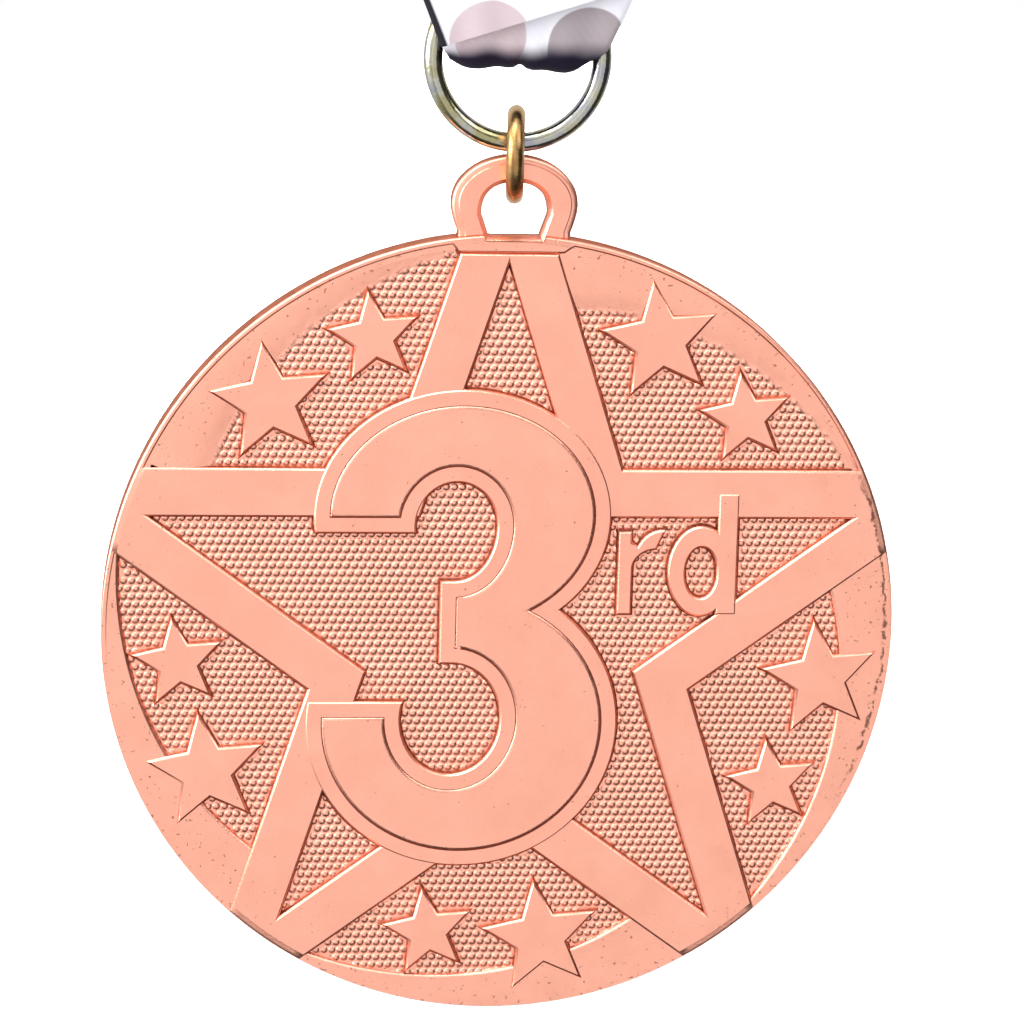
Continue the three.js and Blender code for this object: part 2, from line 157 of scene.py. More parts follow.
def bezier(p0, p1, p2, p3, steps):
    """Points on a cubic Bezier curve, without its last one."""
    points = []
    for t in np.arange(steps) / steps:
        s = 1 - t
        weights = (s**3, 3 * s * s * t, 3 * s * t * t, t**3)
        points.append(tuple(
            sum(w * p[axis] for w, p in zip(weights, (p0, p1, p2, p3))) for axis in (0, 1)
        ))
    return points


def star_outline(x, z, radius, waist, tilt):
    points = []
    for corner in range(10):
        angle = math.radians(90 + tilt + 36 * corner)
        reach = waist if corner % 2 else radius
        points.append((x + reach * math.cos(angle), z + reach * math.sin(angle)))
    return points


def pentagram(reach):
    """A five-pointed star whose edges all lie at one distance from the centre."""
    radius = reach / math.sin(math.radians(18))
    waist = reach / math.cos(math.radians(36))
    return star_outline(0, 0, radius, waist, 0)


def border_outline(gap):
    """The smooth border of one gap, whose inner edge spirals towards the centre."""
    outer = DISC_RADIUS + 1
    span = BORDER_HALF_SPAN
    points = ellipse_arc(0, 0, outer, outer, gap - span, gap + span, 24)
    for turn in np.linspace(span, -span, 24):
        reach = min(BORDER_MIDDLE - BORDER_SLOPE * turn, BORDER_LIMIT)
        angle = math.radians(gap + turn)
        points.append((reach * math.cos(angle), reach * math.sin(angle)))
    return points


def terminal_angle(level, bowl, grow):
    """The angle, in degrees, at which a bowl's ellipse is cut off on the numeral's open side."""
    return 180 - math.degrees(math.asin((level - bowl[1]) / (bowl[3] + grow)))


def upper_bowl_outline(grow):
    x, z, a, b = UPPER_BOWL
    cx, cz, ca, cb = UPPER_COUNTER
    end = UPPER_TERMINAL - grow
    inner_end = terminal_angle(end, UPPER_COUNTER, -grow)
    outer_start = terminal_angle(end, UPPER_BOWL, grow)
    points = [(BAR_LEFT - grow, 0), (BAR_LEFT - grow, cz - UPPER_COUNTER_LOW + grow)]
    points += ellipse_arc(cx, cz, ca - grow, UPPER_COUNTER_LOW - grow, -90, 0, 16)
    points += ellipse_arc(cx, cz, ca - grow, cb - grow, 0, inner_end, 26)[1:]
    points += ellipse_arc(x, z, a + grow, b + grow, outer_start, -BOWLS_MEET_AT, 60)
    return points


def lower_bowl_outline(grow):
    x, z, a, b = LOWER_BOWL
    cx, cz, ca, cb = LOWER_COUNTER
    end = LOWER_TERMINAL + grow
    inner_start = terminal_angle(end, LOWER_COUNTER, -grow)
    outer_end = terminal_angle(end, LOWER_BOWL, grow) - 360
    points = [(BAR_LEFT - grow, 1), (0, 1)]
    points += ellipse_arc(x, z, a + grow, b + grow, BOWLS_MEET_AT, outer_end, 66)
    points += ellipse_arc(cx, cz, ca - grow, cb - grow, inner_start, 450, 44)
    points.append((BAR_LEFT - grow, cz + cb - grow))
    return points


def letter_outlines():
    """Simple ordinal letters: the r, then the d's ring and its stem."""
    r_shape = [(9.2, 1.2), (10.5, 1.2), (10.5, 5.0)]
    r_shape += ellipse_arc(12.4, 5.0, 1.9, 1.55, 180, 95, 8)[1:]
    r_shape += [(12.35, 6.55), (13.1, 8.3)]
    r_shape += ellipse_arc(12.9, 5.6, 2.4, 2.65, 90, 150, 6)
    r_shape += [(10.4, 7.2), (10.4, 8.1), (9.2, 8.1)]
    d_ring = ellipse_arc(15.95, 4.8, 2.7, 3.75, 0, 352.5, 47)
    d_counter = ellipse_arc(16.0, 4.7, 1.25, 2.05, 352.5, 0, 47)
    d_stem = [(17.2, 1.2), (18.95, 1.2), (18.95, 11.2), (17.2, 11.2)]
    return [[r_shape], [d_ring, d_counter], [d_stem]]


def eye_outline():
    right = [(EYE_FOOT_HALF, EYE_FOOT)]
    right += bezier(
        (EYE_FOOT_HALF, EYE_NECK), (mix(EYE_FOOT_HALF, EYE_RADIUS, 2 / 3), EYE_CENTRE - 0.4),
        (EYE_RADIUS, EYE_CENTRE + 0.3), (EYE_RADIUS, EYE_SHOULDER), 8,
    )
    right += bezier(
        (EYE_RADIUS, EYE_SHOULDER), (EYE_RADIUS, EYE_TOP - EYE_CROWN_DROP),
        (EYE_CROWN_HALF, EYE_TOP), (0, EYE_TOP), 18,
    )
    left = [(-x, z) for x, z in reversed(right)]
    return right + [(0, EYE_TOP)] + left


def hole_outline(widen):
    top = HOLE_TOP + widen
    bottom = HOLE_BOTTOM - widen
    wide = HOLE_HALF_WIDTH + widen
    side = HOLE_TOP - HOLE_SIDE_DROP
    right = [(HOLE_FOOT_HALF + widen, bottom)]
    right += bezier(
        (wide, side), (wide, top - HOLE_CROWN_DROP), (HOLE_CROWN_HALF, top), (0, top), 16,
    )
    left = [(-x, z) for x, z in reversed(right)]
    return right + [(0, top)] + left


# ---- solids from outlines ------------------------------------------------------------------------


def signed_area(points):
    p = np.array(points)
    q = np.roll(p, -1, axis=0)
    return 0.5 * float(np.sum(p[:, 0] * q[:, 1] - q[:, 0] * p[:, 1]))


def wound(points, hole):
    """The same points anticlockwise, or clockwise for a hole."""
    return points if (signed_area(points) > 0) != hole else points[::-1]


def inset(points, amount):
    """Each point moved into the material by an amount, with mitred corners."""
    p = np.array(points)
    before = p - np.roll(p, 1, axis=0)
    after = np.roll(p, -1, axis=0) - p
    before /= np.linalg.norm(before, axis=1)[:, None]
    after /= np.linalg.norm(after, axis=1)[:, None]
    normal_before = np.stack([-before[:, 1], before[:, 0]], 1)
    normal_after = np.stack([-after[:, 1], after[:, 0]], 1)
    middle = normal_before + normal_after
    middle /= np.linalg.norm(middle, axis=1)[:, None]
    reach = amount / np.maximum(0.25, np.sum(middle * normal_after, axis=1))
    return p + middle * reach[:, None]


def wall_profile(foot, top):
    """Insets and depths of a cast wall: a flared foot, a steep face and a rounded top edge."""
    rise = top - foot
    return (
        (-0.12, ROOT_DEPTH),
        (-0.12, foot),
        (-0.06, foot + 0.22 * rise),
        (0.0, foot + 0.58 * rise),
        (0.07, foot + 0.83 * rise),
        (0.19, top),
    )


def slope_profile(foot, top):
    """A border that falls gently into the ground."""
    rise = top - foot
    return (
        (-0.6, ROOT_DEPTH), (-0.6, foot), (0.0, foot + 0.3 * rise),
        (0.6, foot + 0.65 * rise), (1.2, foot + 0.9 * rise), (1.9, top),
    )


def add_raised(bm, loops, profile):
    """Adds a closed solid with walls by a profile round every loop; the first is the outside."""
    loops = [wound(points, place > 0) for place, points in enumerate(loops)]
    caps = {0: [], len(profile) - 1: []}
    for points in loops:
        rows = []
        for step, (shift, depth) in enumerate(profile):
            ring = inset(points, shift)
            row = [bm.verts.new((x * MM, -depth * MM, z * MM)) for x, z in ring]
            rows.append(row)
            if step in caps:
                caps[step].append(row)
        count = len(points)
        for low, high in zip(rows, rows[1:]):
            for here in range(count):
                there = (here + 1) % count
                bm.faces.new((low[here], low[there], high[there], high[here]))
    for step, rows in caps.items():
        flat = [vert for row in rows for vert in row]
        triangles = tessellate_polygon([[Vector((v.co.x, v.co.z, 0)) for v in row] for row in rows])
        for a, b, c in triangles:
            corners = [flat[a], flat[b], flat[c]]
            turn = (corners[1].co - corners[0].co).cross(corners[2].co - corners[0].co).y
            faces_viewer = step > 0
            if (turn < 0) != faces_viewer:
                corners.reverse()
            bm.faces.new(corners)


def turned_solid(bm, profile, steps):
    """Adds a solid turned about the medal's axis from (radius, depth) pairs, axis to axis."""
    rings = []
    for radius, depth in profile:
        if radius == 0:
            rings.append([bm.verts.new((0, -depth * MM, 0))])
            continue
        ring = []
        for t in 2 * math.pi * np.arange(steps) / steps:
            place = (radius * math.cos(t) * MM, -depth * MM, radius * math.sin(t) * MM)
            ring.append(bm.verts.new(place))
        rings.append(ring)
    for low, high in zip(rings, rings[1:]):
        for here in range(steps):
            there = (here + 1) % steps
            corners = [low[here % len(low)], low[there % len(low)],
                       high[there % len(high)], high[here % len(high)]]
            bm.faces.new(list(dict.fromkeys(corners)))


def object_from(bm, name):
    bmesh.ops.recalc_face_normals(bm, faces=bm.faces)
    mesh = bpy.data.meshes.new(name)
    bm.to_mesh(mesh)
    bm.free()
    piece = bpy.data.objects.new(name, mesh)
    bpy.context.scene.collection.objects.link(piece)
    return piece


def combine(target, other, operation):
    """Joins or cuts two closed meshes, and removes the second."""
    modifier = target.modifiers.new("combine", "BOOLEAN")
    modifier.object = other
    modifier.operation = operation
    modifier.solver = "MANIFOLD"
    apply_modifiers(target)
    bpy.data.objects.remove(other)


def apply_modifiers(piece):
    graph = bpy.context.evaluated_depsgraph_get()
    made = bpy.data.meshes.new_from_object(piece.evaluated_get(graph), depsgraph=graph)
    piece.modifiers.clear()
    piece.data = made


def relief_parts():
    """Every raised shape of the face: its loops and the profile of its walls."""
    band = [cut_star_top(pentagram(STAR_OUTER_REACH)), pentagram(STAR_INNER_REACH)]
    parts = [(band, wall_profile(FIELD_DEPTH, BAND_DEPTH))]
    for gap in GAP_ANGLES:
        profile = slope_profile if gap in SLOPED_GAPS else wall_profile
        parts.append(([border_outline(gap)], profile(FIELD_DEPTH, BORDER_DEPTH)))
        for star in SMALL_STARS:
            angle = math.radians(gap + star["turn"])
            nudges = LARGE_STAR_NUDGE if star is SMALL_STARS[0] else {}
            nudge = nudges.get(gap, (0, 0))
            x = star["distance"] * math.cos(angle) + nudge[0]
            z = star["distance"] * math.sin(angle) + nudge[1]
            loops = [star_outline(x, z, star["radius"], star["waist"], SMALL_STAR_TILT)]
            parts.append((loops, wall_profile(FIELD_DEPTH, BAND_DEPTH)))
    parts.append(([SHOULDER_PLATE], wall_profile(FIELD_DEPTH, BAND_DEPTH)))
    for bowl_outline in (upper_bowl_outline, lower_bowl_outline):
        loops = [bowl_outline(OUTLINE_WIDTH)]
        parts.append((loops, wall_profile(FIELD_DEPTH, OUTLINE_DEPTH)))
    for loops in letter_outlines():
        parts.append((loops, wall_profile(FIELD_DEPTH, LETTER_DEPTH)))
    return parts


def cut_star_top(points):
    """The big star's outline with its top point cut off level, below the eye's shoulder."""
    (x0, z0), (x1, z1) = points[0], points[1]
    share = (z0 - STAR_TOP_CUT) / (z0 - z1)
    half = abs(x0 + share * (x1 - x0))
    return [(half, STAR_TOP_CUT), (-half, STAR_TOP_CUT)] + points[1:]


def inside(points, x, z):
    """True where (x, z) lies inside a closed outline."""
    result = np.zeros(x.shape, bool)
    count = len(points)
    for here in range(count):
        (x0, z0), (x1, z1) = points[here], points[(here + 1) % count]
        crosses = (z0 > z) != (z1 > z)
        with np.errstate(divide="ignore", invalid="ignore"):
            at = x0 + (z - z0) * (x1 - x0) / (z1 - z0)
        result ^= crosses & (x < at)
    return result


def pebble_places(parts):
    """Centres of the pebbles that stand on the open ground."""
    half = int(DISC_RADIUS / PEBBLE_ROW) + 1
    xs, zs = [], []
    for row in range(-half, half + 1):
        shift = 0.5 * PEBBLE_PITCH * (row % 2)
        x = np.arange(-half, half + 1) * PEBBLE_PITCH + shift
        xs.append(x)
        zs.append(np.full(x.shape, row * PEBBLE_ROW))
    x, z = np.concatenate(xs), np.concatenate(zs)
    free = np.hypot(x, z) < DISC_RADIUS - PEBBLE_RIM_GAP
    for loops, _ in parts:
        covered = inside(loops[0], x, z)
        for hole in loops[1:]:
            covered &= ~inside(hole, x, z)
        free &= ~covered
    return x[free], z[free]


def add_pebbles(bm, x, z):
    """Adds a small closed dome, sunk into the ground, at every place."""
    sides = PEBBLE_SIDES
    turns = 2 * math.pi * np.arange(sides) / sides
    for cx, cz in zip(x, z):
        rows = []
        for spread, rise in PEBBLE_RINGS:
            depth = FIELD_DEPTH + rise * PEBBLE_HEIGHT
            rows.append([
                bm.verts.new((
                    (cx + spread * PEBBLE_RADIUS * math.cos(t)) * MM,
                    -depth * MM,
                    (cz + spread * PEBBLE_RADIUS * math.sin(t)) * MM,
                )) for t in turns
            ])
        top = bm.verts.new((cx * MM, -(FIELD_DEPTH + PEBBLE_HEIGHT) * MM, cz * MM))
        for low, high in zip(rows, rows[1:]):
            for here in range(sides):
                there = (here + 1) % sides
                bm.faces.new((low[here], low[there], high[there], high[here]))
        for here in range(sides):
            bm.faces.new((rows[-1][here], rows[-1][(here + 1) % sides], top))
        bm.faces.new(rows[0][::-1])


def raised_object(name, loops, profile):
    bm = bmesh.new()
    add_raised(bm, loops, profile)
    return object_from(bm, name)


def raised_lip():
    """The narrow lip round the face's edge, which dies away towards the bottom of the disc."""
    bm = bmesh.new()
    steps = LIP_STEPS
    rows = []
    for turn in 2 * math.pi * np.arange(steps) / steps:
        height = BORDER_DEPTH + LIP_HEIGHT * smooth(0.3 + 1.6 * math.sin(turn)) - 0.002
        section = (
            (LIP_RADIUS, ROOT_DEPTH), (LIP_RADIUS, BORDER_DEPTH - 0.03),
            (LIP_RADIUS + LIP_SLOPE, height), (DISC_RADIUS + 1, height), (DISC_RADIUS + 1, ROOT_DEPTH),
        )
        rows.append([
            bm.verts.new((r * math.cos(turn) * MM, -depth * MM, r * math.sin(turn) * MM))
            for r, depth in section
        ])
    for here in range(steps):
        low, high = rows[here], rows[(here + 1) % steps]
        for side in range(len(low)):
            there = (side + 1) % len(low)
            bm.faces.new((low[side], low[there], high[there], high[side]))
    return object_from(bm, "lip")


def make_casting():
    """The whole medal as one closed mesh."""
    parts = relief_parts()
    bm = bmesh.new()
    turned_solid(bm, (
        (0, BACK_DEPTH - 1), (DISC_RADIUS + BEYOND, BACK_DEPTH - 1),
        (DISC_RADIUS + BEYOND, FIELD_DEPTH), (0, FIELD_DEPTH),
    ), 96)
    medal = object_from(bm, "medal_visual")
    bm = bmesh.new()
    add_pebbles(bm, *pebble_places(parts))
    combine(medal, object_from(bm, "pebbles"), "UNION")
    for loops, profile in parts:
        combine(medal, raised_object("part", loops, profile), "UNION")
    for outline in (upper_bowl_outline, lower_bowl_outline):
        straight = ((0, GROOVE_DEPTH), (0, GROOVE_CUT_TOP))
        groove = raised_object("groove", [outline(GROOVE_WIDTH)], straight)
        combine(medal, groove, "DIFFERENCE")
    for outline in (upper_bowl_outline, lower_bowl_outline):
        face = raised_object("numeral", [outline(0)], wall_profile(GROOVE_DEPTH, NUMERAL_DEPTH))
        combine(medal, face, "UNION")

    combine(medal, raised_lip(), "UNION")

    # The rim limits everything: rounded towards the face, with a small chamfer at the back.
    bm = bmesh.new()
    rim = [
        (0, BACK_DEPTH), (DISC_RADIUS - BACK_CHAMFER, BACK_DEPTH),
        (DISC_RADIUS, BACK_DEPTH + BACK_CHAMFER),
    ]
    rim += [
        (DISC_RADIUS - RIM_ROUND * (1 - math.cos(t)), RIM_ROUND_FOOT + RIM_ROUND * math.sin(t))
        for t in np.radians((0, 20, 40, 58, 74, 90))
    ]
    rim += [(DISC_RADIUS - 0.6, BAND_DEPTH), (DISC_RADIUS - 4, FACE_LIMIT), (0, FACE_LIMIT)]
    turned_solid(bm, rim, 220)
    combine(medal, object_from(bm, "rim"), "INTERSECT")

    half = EYE_HALF_DEPTH
    eye = raised_object("eye", [eye_outline()], (
        (0.3, -half), (0.08, 0.12 - half), (0, 0.4 - half), (0, half - 0.4),
        (0.09, half - 0.2), (0.24, half - 0.11), (0.52, half - 0.1), (0.6, half),
    ))
    eye.data.transform(Matrix.Translation((EYE_ASIDE * MM, 0, 0)))
    combine(medal, eye, "UNION")
    cut = raised_object("hole", [hole_outline(0)], (
        (-HOLE_CHAMFER - BEYOND, -half - BEYOND), (-HOLE_CHAMFER, -half), (-0.12, 0.28 - half),
        (0, 0.55 - half), (0, half - 0.55), (-0.12, half - 0.28), (-HOLE_CHAMFER, half),
        (-HOLE_CHAMFER, half + BEYOND),
    ))
    cut.data.transform(Matrix.Translation((EYE_ASIDE * MM, 0, 0)))
    combine(medal, cut, "DIFFERENCE")
    return medal


# ---- helpers for meshes ---------------------------------------------------------------------------


def place(points):
    """Row-frame metres from an array of (x, y, z) in disc-centred millimetres."""
    points = np.asarray(points, float) + np.array([0, 0, DISC_HEIGHT])
    return points * MM


def mesh_object(name, points, faces):
    mesh = bpy.data.meshes.new(name)
    mesh.from_pydata(place(points).tolist(), [], [list(map(int, f)) for f in faces])
    mesh.validate()
    piece = bpy.data.objects.new(name, mesh)
    bpy.context.scene.collection.objects.link(piece)
    return piece


LEVEL_FACE = math.cos(math.radians(0.5))
LEVEL_CREASE = math.radians(3)


def shade_by_angle(piece, degrees):
    """Smooth shading with creases at sharp angles and round every level face."""
    for polygon in piece.data.polygons:
        polygon.use_smooth = True
    piece.data.set_sharp_from_angle(angle=math.radians(degrees))
    bm = bmesh.new()
    bm.from_mesh(piece.data)
    for edge in bm.edges:
        levels = [abs(face.normal.y) > LEVEL_FACE for face in edge.link_faces]
        if any(levels) and not all(levels) and edge.calc_face_angle(0) > LEVEL_CREASE:
            edge.smooth = False
    bm.to_mesh(piece.data)
    bm.free()


# ---- rings ---------------------------------------------------------------------------------------

JUMP_WIRE = 1.4
JUMP_RADIUS = 3.18
JUMP_HEIGHT = 37.9
JUMP_SPLIT = 0.06
JUMP_SPLIT_AT = 12
JUMP_YAW = math.radians(-6)
RING_WIRE = 1.5
RING_RADIUS = 6.62
RING_HEIGHT = 45.45
RING_STEPS = 160
RING_SIDES = 28
JUMP_CHAMFER = 0.06
JUMP_STEPS = 110
JUMP_SIDES = 26


def swept_tube(centres, sides, radii, closed, across, up):
    """Points and faces of a round tube along centres; across and up span each section."""
    count = len(centres)
    turns = 2 * math.pi * np.arange(sides) / sides
    points = []
    for centre, radius, a, b in zip(centres, radii, across, up):
        points += [centre + radius * (math.cos(t) * a + math.sin(t) * b) for t in turns]
    faces = []
    for step in range(count if closed else count - 1):
        low = step * sides
        high = ((step + 1) % count) * sides
        for side in range(sides):
            there = (side + 1) % sides
            faces.append((low + side, high + side, high + there, low + there))
    if not closed:
        faces.append(tuple(range(sides)))
        faces.append(tuple(range((count - 1) * sides, count * sides))[::-1])
    return points, faces


def make_ribbon_ring():
    """A round welded ring in the XZ plane."""
    angles = 2 * math.pi * np.arange(RING_STEPS) / RING_STEPS
    outward = [np.array([math.cos(t), 0, math.sin(t)]) for t in angles]
    centres = [RING_RADIUS * o + np.array([EYE_ASIDE, 0, RING_HEIGHT]) for o in outward]
    along_y = [np.array([0, 1.0, 0])] * RING_STEPS
    radii = [RING_WIRE / 2] * RING_STEPS
    points, faces = swept_tube(centres, RING_SIDES, radii, True, outward, along_y)
    return mesh_object("ribbon_ring_visual", points, faces)


def make_jump_ring():
    """A cut wire ring in the YZ plane; its two ends almost meet."""
    gap = JUMP_SPLIT / JUMP_RADIUS
    start = math.radians(JUMP_SPLIT_AT) + gap / 2
    span = 2 * math.pi - gap
    steps = np.linspace(0, span, JUMP_STEPS)
    edge = JUMP_CHAMFER / JUMP_RADIUS
    steps = np.concatenate([[0], [edge], steps[1:-1], [span - edge], [span]])
    radii = np.full(len(steps), JUMP_WIRE / 2)
    radii[0] -= JUMP_CHAMFER
    radii[-1] -= JUMP_CHAMFER
    angles = start + steps
    ahead = np.array([-math.sin(JUMP_YAW), math.cos(JUMP_YAW), 0])
    aside = np.array([math.cos(JUMP_YAW), math.sin(JUMP_YAW), 0])
    upward = np.array([0, 0, 1.0])
    outward = [math.cos(t) * ahead + math.sin(t) * upward for t in angles]
    centres = [JUMP_RADIUS * o + np.array([EYE_ASIDE, 0, JUMP_HEIGHT]) for o in outward]
    across = [aside] * len(angles)
    points, faces = swept_tube(centres, JUMP_SIDES, radii, False, outward, across)
    return mesh_object("jump_ring_visual", points, faces)


# ---- ribbon --------------------------------------------------------------------------------------

RIBBON_THICKNESS = 0.5
RIBBON_HALF_WIDTH = 7.5
STRAND_LEAN = math.radians(24)
CROSSING_HEIGHT = 49.8
LEFT_ASIDE = 1.0
RIGHT_ASIDE = 0.5
FORM_RADIUS = 87
POCKET_DEPTH = 2.35
FRONT_DEPTH = 3.05
HEM_LOW = (-5.93, 46.45)
HEM_HIGH = (8.46, 51.1)
FOLD_HEIGHT = 47.0
FOLD_LEFT = -5.1
FOLD_RIGHT = 5.8
CLOSE_START = 53
CLOSE_HEIGHT = 57
CLOSED_DEPTH = 1.75
TAIL_TOP = 61
DRAWN_RIBS = (((-6.4, 52.4), (8.96, 50.4)), ((-6.2, 49.6), (8.06, 48.4)))
FOLD_EDGES = ((0, -5.9, 7.43), (20, -5.7, 7.1), (40, -5.45, 6.6), (56, -5.2, 6.05))

LOOP_CENTRE = CROSSING_HEIGHT + FORM_RADIUS / math.sin(STRAND_LEAN)
STRAND_LENGTH = FORM_RADIUS / math.tan(STRAND_LEAN)
TWIST_START = 26
TWIST_END = STRAND_LENGTH - 6
SETTLE_START = 8
SETTLE_LENGTH = 60
RIB_SPACING = 4
LAST_RIB = 7
ARC_STEPS = 88
FINE_SPACING = 1.5
RIBBON_COLUMNS = 34
EDGE_WIDTH = 0.35
NOTCH_ASIDE = 0.55


def smooth(t):
    t = min(1.0, max(0.0, t))
    return t * t * (3 - 2 * t)


def mix(low, high, t):
    return low + (high - low) * t


def rib(centre, half, face):
    """One rib of the band: its middle, its half width as a vector and its face direction."""
    face = np.array(face, float)
    return np.array(centre, float), np.array(half, float), face / np.linalg.norm(face)


def flat_rib(low, high, depth):
    """A rib facing the viewer between two edge points."""
    low = np.array((low[0], -depth, low[1]))
    high = np.array((high[0], -depth, high[1]))
    return rib((low + high) / 2, (high - low) / 2, (0, -1, 0))


def strand_rib(side, along, depth_at_foot):
    lean_sin, lean_cos = math.sin(STRAND_LEAN), math.cos(STRAND_LEAN)
    centre = along * np.array([side * lean_sin, 0, lean_cos])
    centre[0] += (LEFT_ASIDE if side < 0 else RIGHT_ASIDE) * (1 - along / STRAND_LENGTH)
    centre[2] += CROSSING_HEIGHT
    centre[1] = -depth_at_foot * (1 - smooth((along - SETTLE_START) / SETTLE_LENGTH))
    twist = math.pi / 2 * smooth((along - TWIST_START) / (TWIST_END - TWIST_START))
    across = np.array([lean_cos, 0, -side * lean_sin])
    forward = np.array([0, -1.0, 0])
    half = -side * math.cos(twist) * across - math.sin(twist) * forward
    face = math.cos(twist) * forward - side * math.sin(twist) * across
    return rib(centre, half * RIBBON_HALF_WIDTH, face)


def loop_rib(angle):
    inward = np.array([-math.cos(angle), 0, -math.sin(angle)])
    centre = -FORM_RADIUS * inward
    centre[2] += LOOP_CENTRE
    return rib(centre, (0, RIBBON_HALF_WIDTH, 0), inward)


def fold_rib(degrees, left, right):
    """A rib on the half turn through the ring, from x = left to x = right."""
    angle = math.radians(degrees)
    middle = (left + right) / 2
    centre = (
        middle, -POCKET_DEPTH * math.cos(angle), FOLD_HEIGHT - POCKET_DEPTH * math.sin(angle),
    )
    return rib(centre, ((left - right) / 2, 0, 0), (0, -math.cos(angle), -math.sin(angle)))


def ribbon_ribs():
    """Ribs from the hem, over the neck loop and down, through the ring and up behind it."""
    ribs = [flat_rib(HEM_LOW, HEM_HIGH, FRONT_DEPTH)]
    for along in np.arange(RIB_SPACING, STRAND_LENGTH, RIB_SPACING):
        ribs.append(strand_rib(-1, along, FRONT_DEPTH))
    arc_start = math.pi + STRAND_LEAN
    arc_span = math.pi + 2 * STRAND_LEAN
    for step in range(ARC_STEPS + 1):
        ribs.append(loop_rib(arc_start - arc_span * step / ARC_STEPS))
    for along in np.arange(STRAND_LENGTH - RIB_SPACING, LAST_RIB, -RIB_SPACING):
        ribs.append(strand_rib(1, along, POCKET_DEPTH))
    ribs += [flat_rib(right, left, POCKET_DEPTH) for left, right in DRAWN_RIBS]
    ribs += [fold_rib(*edges) for edges in FOLD_EDGES]
    ribs += [fold_rib(degrees, FOLD_LEFT, FOLD_RIGHT) for degrees in range(72, 181, 18)]
    middle = (FOLD_LEFT + FOLD_RIGHT) / 2
    half = (FOLD_LEFT - FOLD_RIGHT) / 2
    for height in np.arange(FOLD_HEIGHT + 2, TAIL_TOP + 0.1, 2):
        closing = smooth((height - CLOSE_START) / (CLOSE_HEIGHT - CLOSE_START))
        centre = (middle, mix(POCKET_DEPTH, -CLOSED_DEPTH, closing), height)
        ribs.append(rib(centre, (half, 0, 0), (0, 1, 0)))
    return ribs


def refine(ribs, spacing):
    """More ribs on a smooth curve through the given ones, and the distance along to each."""
    centres = np.array([r[0] for r in ribs])
    halves = np.array([r[1] for r in ribs])
    faces = np.array([r[2] for r in ribs])
    rows = np.hstack([centres, halves, faces])
    along = np.concatenate([[0], np.cumsum(np.linalg.norm(np.diff(centres, axis=0), axis=1))])
    slopes = np.gradient(rows, along, axis=0)
    fine, distances = [], []
    for here in range(len(ribs) - 1):
        length = along[here + 1] - along[here]
        count = max(1, int(math.ceil(length / spacing)))
        for t in np.arange(count) / count:
            a = 2 * t**3 - 3 * t**2 + 1
            b = (t**3 - 2 * t**2 + t) * length
            c = 3 * t**2 - 2 * t**3
            d = (t**3 - t**2) * length
            start = a * rows[here] + b * slopes[here]
            fine.append(start + c * rows[here + 1] + d * slopes[here + 1])
            distances.append(along[here] + t * length)
    fine.append(rows[-1])
    distances.append(along[-1])
    return np.array(fine), np.array(distances)


def make_ribbon():
    """The whole neck ribbon as one closed band with rounded woven edges."""
    rows, distances = refine(ribbon_ribs(), FINE_SPACING)
    columns = np.linspace(-1, 1, RIBBON_COLUMNS + 1)
    columns = np.sign(columns) * (1 - (1 - np.abs(columns)) ** 1.25)
    middle = np.zeros((len(rows), len(columns), 3))
    for place_in_row, row in enumerate(rows):
        centre, half, face = row[:3], row[3:6], row[6:]
        face = face / np.linalg.norm(face)
        for column, v in enumerate(columns):
            point = centre + v * half
            middle[place_in_row, column] = point + face * gather(point, v)
    du = np.gradient(middle, axis=0)
    dv = np.gradient(middle, columns, axis=1)
    normal = np.cross(du, dv)
    normal /= np.linalg.norm(normal, axis=2)[:, :, None]
    if np.sum(normal[len(rows) // 2, RIBBON_COLUMNS // 2] * rows[len(rows) // 2, 6:]) < 0:
        normal = -normal
    from_edge = (1 - np.abs(columns)) * RIBBON_HALF_WIDTH
    round_off = np.sqrt(np.clip(1 - (1 - np.clip(from_edge / EDGE_WIDTH, 0, 1)) ** 2, 0, 1))
    lift = (RIBBON_THICKNESS / 2 * round_off)[None, :, None] * normal
    front = middle + lift
    back = middle - lift
    count, width = len(rows), len(columns)
    points = np.concatenate([front.reshape(-1, 3), back[:, 1:-1].reshape(-1, 3)])

    def front_at(row, column):
        return row * width + column

    def back_at(row, column):
        if column in (0, width - 1):
            return front_at(row, column)
        return count * width + row * (width - 2) + column - 1

    faces = []
    for row in range(count - 1):
        for column in range(width - 1):
            faces.append((front_at(row, column), front_at(row, column + 1),
                          front_at(row + 1, column + 1), front_at(row + 1, column)))
            faces.append((back_at(row, column), back_at(row + 1, column),
                          back_at(row + 1, column + 1), back_at(row, column + 1)))
    for row in (0, count - 1):
        for column in range(width - 1):
            corners = [front_at(row, column), front_at(row, column + 1),
                       back_at(row, column + 1), back_at(row, column)]
            faces.append(tuple(dict.fromkeys(corners)))
    ribbon = mesh_object("neck_ribbon_visual", points, faces)
    bm = bmesh.new()
    bm.from_mesh(ribbon.data)
    bmesh.ops.recalc_face_normals(bm, faces=bm.faces)
    bm.to_mesh(ribbon.data)
    bm.free()
    add_pattern_map(ribbon, rows, distances, columns, width, count)
    return ribbon


